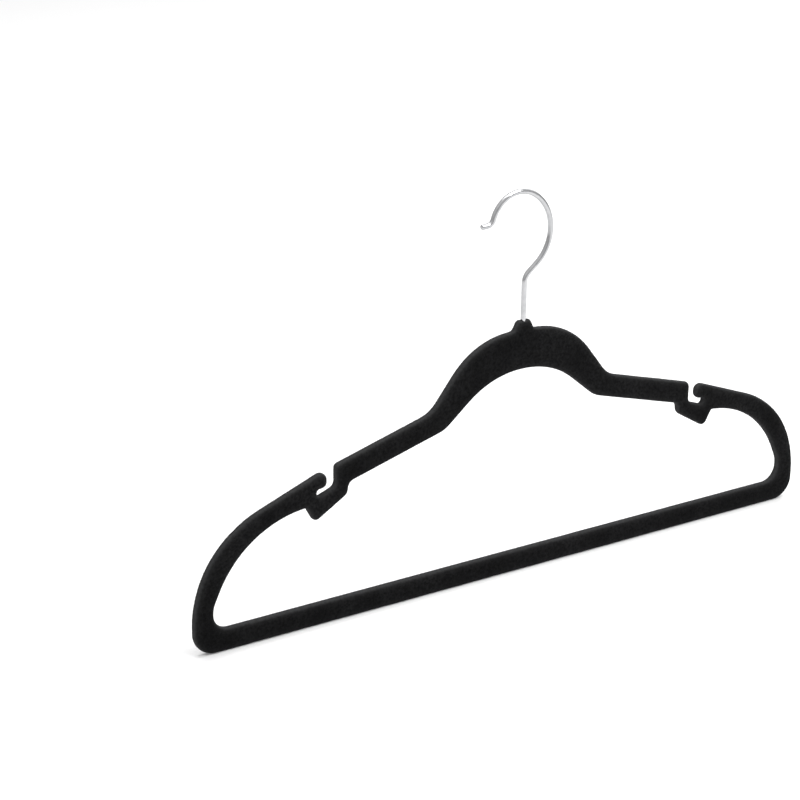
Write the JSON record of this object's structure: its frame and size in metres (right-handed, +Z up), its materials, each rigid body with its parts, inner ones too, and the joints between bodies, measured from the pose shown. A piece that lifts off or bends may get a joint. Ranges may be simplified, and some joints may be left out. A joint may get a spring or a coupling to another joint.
{
  "type": "clothes hanger",
  "caption": "Slim flocked clothes hanger with sloping shoulders, undercut strap notches, a full-width trouser bar and a swivelling chrome wire hook.",
  "frame": {"origin": "on the hook's swivel axis, in the middle of the thickness, level with the underside of the flocked trouser bar", "axes": "+X along the trouser bar, +Y through the thickness towards the back, +Z up along the hook's shank"},
  "size_m": [0.45, 0.0056, 0.2453],
  "materials": {
    "moulded_core": "black injection-moulded ABS, satin",
    "flock": "short black nylon flock, velvet-like, with a soft grey sheen along its rounded rims",
    "chrome_wire": "bright chrome plate on drawn steel wire"
  },
  "bodies": {
    "hook_body": {"wire_hook": "chrome_wire"},
    "frame_body": {"frame_core": "moulded_core", "flock_coat": "flock"}
  },
  "joints": [
    {"name": "hook_swivel", "type": "hinge", "parent": "hook_body", "child": "frame_body", "pos_m": [0, 0, 0.16375], "axis": [0, 0, 1], "continuous": true}
  ]
}
